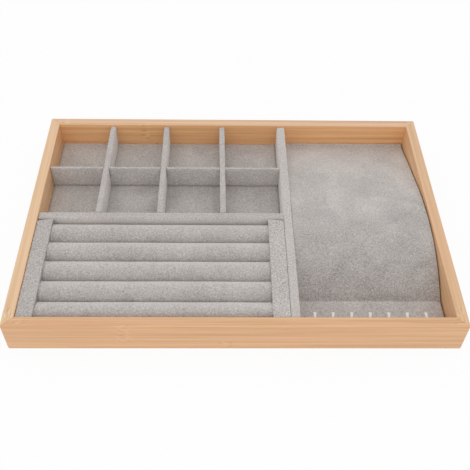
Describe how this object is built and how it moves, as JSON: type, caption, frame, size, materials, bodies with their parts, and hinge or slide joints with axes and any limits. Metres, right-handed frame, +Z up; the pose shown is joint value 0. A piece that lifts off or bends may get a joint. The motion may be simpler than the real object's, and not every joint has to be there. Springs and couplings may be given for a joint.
{
  "type": "jewelry tray",
  "caption": "Shallow bamboo tray lined in grey velvet, with lift-out small-item cells, a ring roll pad and an arched necklace ramp with hooks.",
  "frame": {"origin": "middle of the tray's underside, on the surface it stands on", "axes": "+X along the tray's width to the right, +Y to the back, +Z up"},
  "size_m": [0.35, 0.24, 0.03],
  "materials": {
    "bamboo": "satin clear lacquer",
    "plywood": "bare veneer",
    "fibreboard": "raw board",
    "card": "raw grey card",
    "foam": "open cell foam",
    "velvet": "short nap microfibre velvet",
    "hook_metal": "satin white coat"
  },
  "bodies": {
    "tray": {"front_rail": "bamboo", "back_rail": "bamboo", "left_rail": "bamboo", "right_rail": "bamboo", "bottom_panel": "plywood", "compartment_floor_board": "card", "compartment_floor_lining": "velvet", "long_partition_core": "fibreboard", "long_partition_cover": "velvet", "cross_partition_core": "fibreboard", "cross_partition_cover": "velvet"},
    "divider_grid": {"divider_1_core": "fibreboard", "divider_1_cover": "velvet", "divider_2_core": "fibreboard", "divider_2_cover": "velvet", "divider_3_core": "fibreboard", "divider_3_cover": "velvet", "middle_divider_core": "fibreboard", "middle_divider_cover": "velvet"},
    "ring_insert": {"ring_base_board": "card", "left_end_bar_core": "fibreboard", "left_end_bar_cover": "velvet", "right_end_bar_core": "fibreboard", "right_end_bar_cover": "velvet", "ring_roll_1_foam": "foam", "ring_roll_1_cover": "velvet", "ring_roll_2_foam": "foam", "ring_roll_2_cover": "velvet", "ring_roll_3_foam": "foam", "ring_roll_3_cover": "velvet", "ring_roll_4_foam": "foam", "ring_roll_4_cover": "velvet", "ring_roll_5_foam": "foam", "ring_roll_5_cover": "velvet"},
    "necklace_insert": {"necklace_base_board": "card", "necklace_ramp_foam": "foam", "necklace_ramp_board": "card", "necklace_ramp_cover": "velvet", "hook_strip_board": "card", "hook_strip_cover": "velvet", "necklace_hook_1": "hook_metal", "necklace_hook_2": "hook_metal", "necklace_hook_3": "hook_metal", "necklace_hook_4": "hook_metal", "necklace_hook_5": "hook_metal", "necklace_hook_6": "hook_metal", "necklace_hook_7": "hook_metal"}
  },
  "joints": [
    {"name": "divider_grid_lift", "type": "slide", "parent": "tray", "child": "divider_grid", "axis": [0, 0, 1], "range_m": [0, 0.045]},
    {"name": "ring_insert_lift", "type": "slide", "parent": "tray", "child": "ring_insert", "axis": [0, 0, 1], "range_m": [0, 0.045]},
    {"name": "necklace_insert_lift", "type": "slide", "parent": "tray", "child": "necklace_insert", "axis": [0, 0, 1], "range_m": [0, 0.045]}
  ]
}
